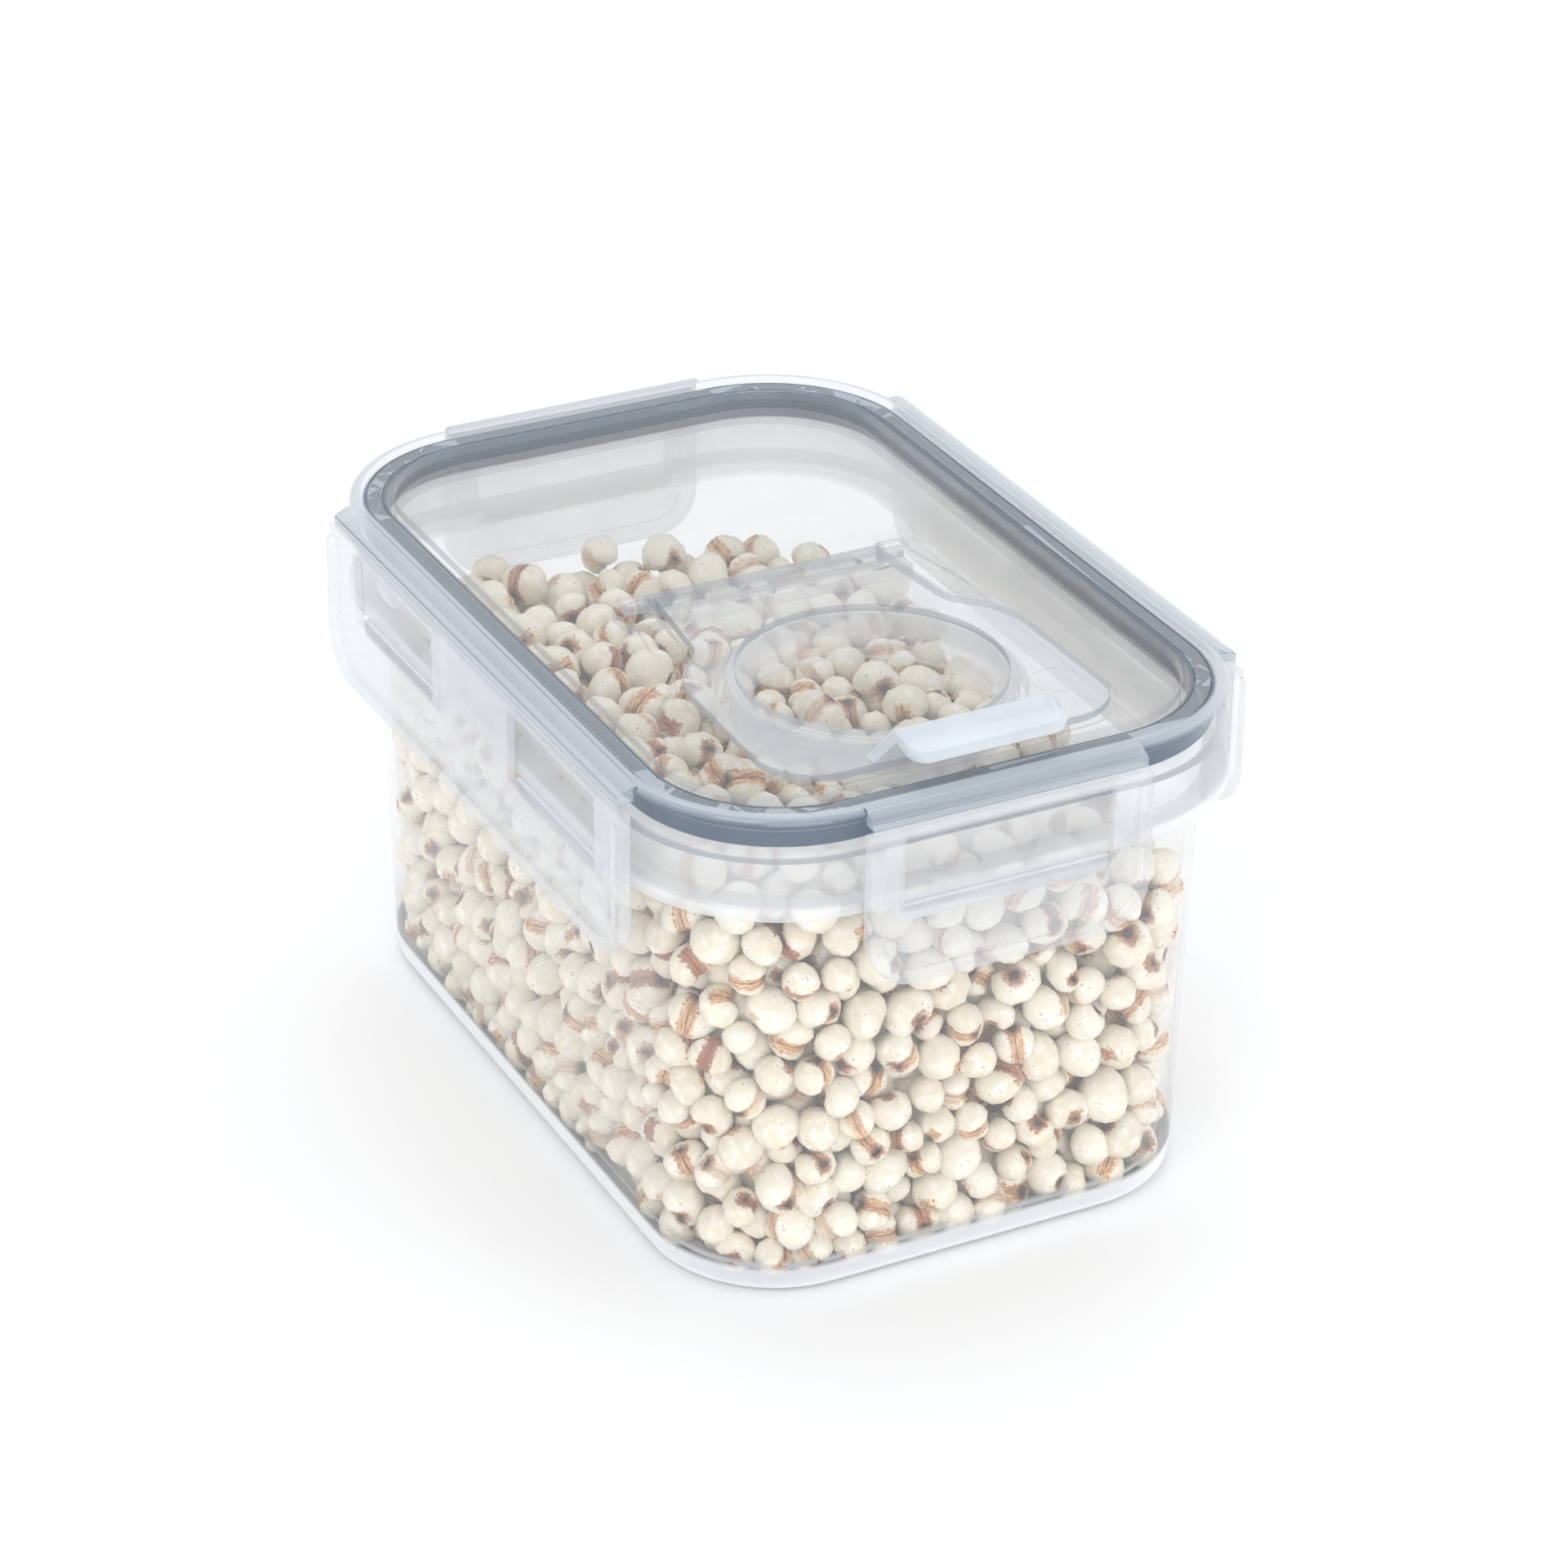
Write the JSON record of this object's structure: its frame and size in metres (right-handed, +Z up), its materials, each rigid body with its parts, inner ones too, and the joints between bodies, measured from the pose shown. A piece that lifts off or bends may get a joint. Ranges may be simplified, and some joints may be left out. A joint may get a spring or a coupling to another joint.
{
  "type": "food canister",
  "caption": "Clear rectangular food canister with a snap lid held by hinged latches, a soft gasket ring and a hinged pour flap with a plug.",
  "frame": {"origin": "centre of the base's underside, where the canister stands", "axes": "+Z up, the long side along Y, the flap's thumb tab towards -Y, which is the front, +X to the right"},
  "size_m": [0.112, 0.162, 0.0955],
  "materials": {
    "clear_pp": "clear moulded polypropylene with a slight grey haze",
    "milky_pp": "milky translucent polypropylene, satin outside",
    "silicone": "satin blue-grey silicone"
  },
  "bodies": {
    "tub": {"container": "clear_pp"},
    "lid": {"lid": "clear_pp", "lid_gasket": "silicone", "living_hinge_front": "milky_pp", "living_hinge_back": "milky_pp", "living_hinge_left": "milky_pp", "living_hinge_right": "milky_pp"},
    "flap": {"pour_flap": "milky_pp", "flap_plug": "milky_pp", "thumb_tab": "milky_pp", "flap_pin_left": "milky_pp", "flap_pin_right": "milky_pp"},
    "front_latch": {"latch_front": "milky_pp", "catch_lip_front": "milky_pp"},
    "back_latch": {"latch_back": "milky_pp", "catch_lip_back": "milky_pp"},
    "left_latch": {"latch_left": "milky_pp", "catch_lips_left": "milky_pp"},
    "right_latch": {"latch_right": "milky_pp", "catch_lips_right": "milky_pp"}
  },
  "joints": [
    {"name": "lid_lift", "type": "slide", "parent": "tub", "child": "lid", "axis": [0, 0, 1], "range_m": [0, 0.06], "deforming": ["catch_lip_front", "catch_lip_back", "catch_lips_left", "catch_lips_right"]},
    {"name": "flap_hinge", "type": "hinge", "parent": "lid", "child": "flap", "pos_m": [0, 0.0033, 0.0869], "axis": [-1, 0, 0], "range_deg": [0, 110]},
    {"name": "front_latch_hinge", "type": "hinge", "parent": "lid", "child": "front_latch", "pos_m": [0, -0.07992, 0.08625], "axis": [-1, 0, 0], "range_deg": [0, 120], "deforming": ["living_hinge_front"]},
    {"name": "back_latch_hinge", "type": "hinge", "parent": "lid", "child": "back_latch", "pos_m": [0, 0.07992, 0.08625], "axis": [1, 0, 0], "range_deg": [0, 120], "deforming": ["living_hinge_back"]},
    {"name": "left_latch_hinge", "type": "hinge", "parent": "lid", "child": "left_latch", "pos_m": [-0.05493, 0, 0.08625], "axis": [0, 1, 0], "range_deg": [0, 120], "deforming": ["living_hinge_left"]},
    {"name": "right_latch_hinge", "type": "hinge", "parent": "lid", "child": "right_latch", "pos_m": [0.05493, 0, 0.08625], "axis": [0, -1, 0], "range_deg": [0, 120], "deforming": ["living_hinge_right"]}
  ]
}
